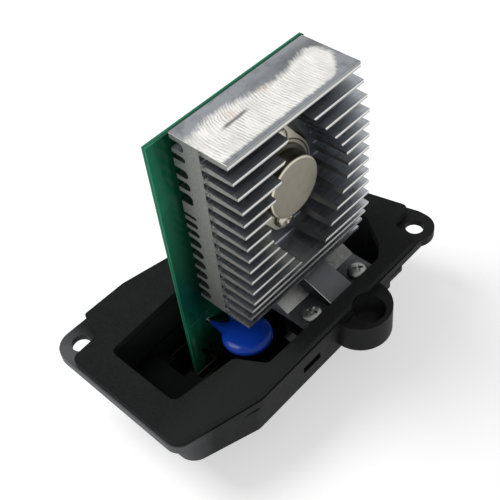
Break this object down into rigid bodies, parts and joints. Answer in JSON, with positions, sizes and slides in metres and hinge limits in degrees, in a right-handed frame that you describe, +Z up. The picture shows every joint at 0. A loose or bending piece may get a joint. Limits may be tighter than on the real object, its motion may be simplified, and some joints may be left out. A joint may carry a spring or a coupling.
{
  "type": "linear blower speed module",
  "caption": "Black flange housing with a foam seal, holding a finned heatsink with a TO-3 power transistor and an upright circuit board.",
  "frame": {"origin": "midway between the two ear holes, on the top face of the ears", "axes": "+Z up out of the housing along the heatsink and board, +X along the heatsink extrusion, -Y towards the transistor side"},
  "size_m": [0.1182, 0.0739, 0.105],
  "materials": {
    "housing_plastic": "satin moulded black",
    "seal_foam": "fine closed-cell foam",
    "sink_aluminium": "extruded, with sawn ends and a milled top",
    "plated_steel": "zinc plated",
    "nickel_can": "satin nickel",
    "nickel_base": "satin nickel",
    "insert_brass": "machined",
    "mica": "thin pearly sheet",
    "seal_glass": "dark sealing glass",
    "silicon": "polished chip",
    "tinned_wire": "tinned",
    "natural_nylon": "unpigmented nylon",
    "board_laminate": "green solder mask on glass laminate",
    "varistor_epoxy": "glossy blue dip coating",
    "chip_resin": "moulded resin",
    "sense_alloy": "bare resistance wire",
    "film_epoxy": "dipped film capacitor",
    "capacitor_sleeve": "shrunk sleeve",
    "resistor_lacquer": "beige lacquer with colour bands",
    "solder": "reflowed",
    "blade_metal": "tin-flashed brass",
    "carrier_plastic": "moulded black"
  },
  "bodies": {
    "root": {"housing": "housing_plastic", "flange_gasket": "seal_foam", "heatsink": "sink_aluminium", "foot_screws": "plated_steel", "foot_inserts": "insert_brass", "mica_insulator": "mica", "transistor_base": "nickel_base", "transistor_can": "nickel_can", "transistor_pins": "tinned_wire", "pin_glass_seals": "seal_glass", "transistor_die": "silicon", "bond_wires": "tinned_wire", "pin_sleeves": "natural_nylon", "transistor_screws": "plated_steel", "transistor_washers": "plated_steel", "insulating_bushes": "natural_nylon", "board_spacers": "natural_nylon", "transistor_nuts": "plated_steel", "circuit_board": "board_laminate", "varistor_disc": "varistor_epoxy", "varistor_leads": "tinned_wire", "control_chip": "chip_resin", "chip_legs": "tinned_wire", "sense_wire": "sense_alloy", "film_capacitor": "film_epoxy", "film_capacitor_leads": "tinned_wire", "electrolytic_capacitor": "capacitor_sleeve", "electrolytic_leads": "tinned_wire", "resistors": "resistor_lacquer", "resistor_leads": "tinned_wire", "diode": "chip_resin", "diode_leads": "tinned_wire", "solder_joints": "solder", "power_blades": "blade_metal", "signal_blades": "blade_metal", "terminal_carrier": "carrier_plastic"}
  },
  "joints": []
}
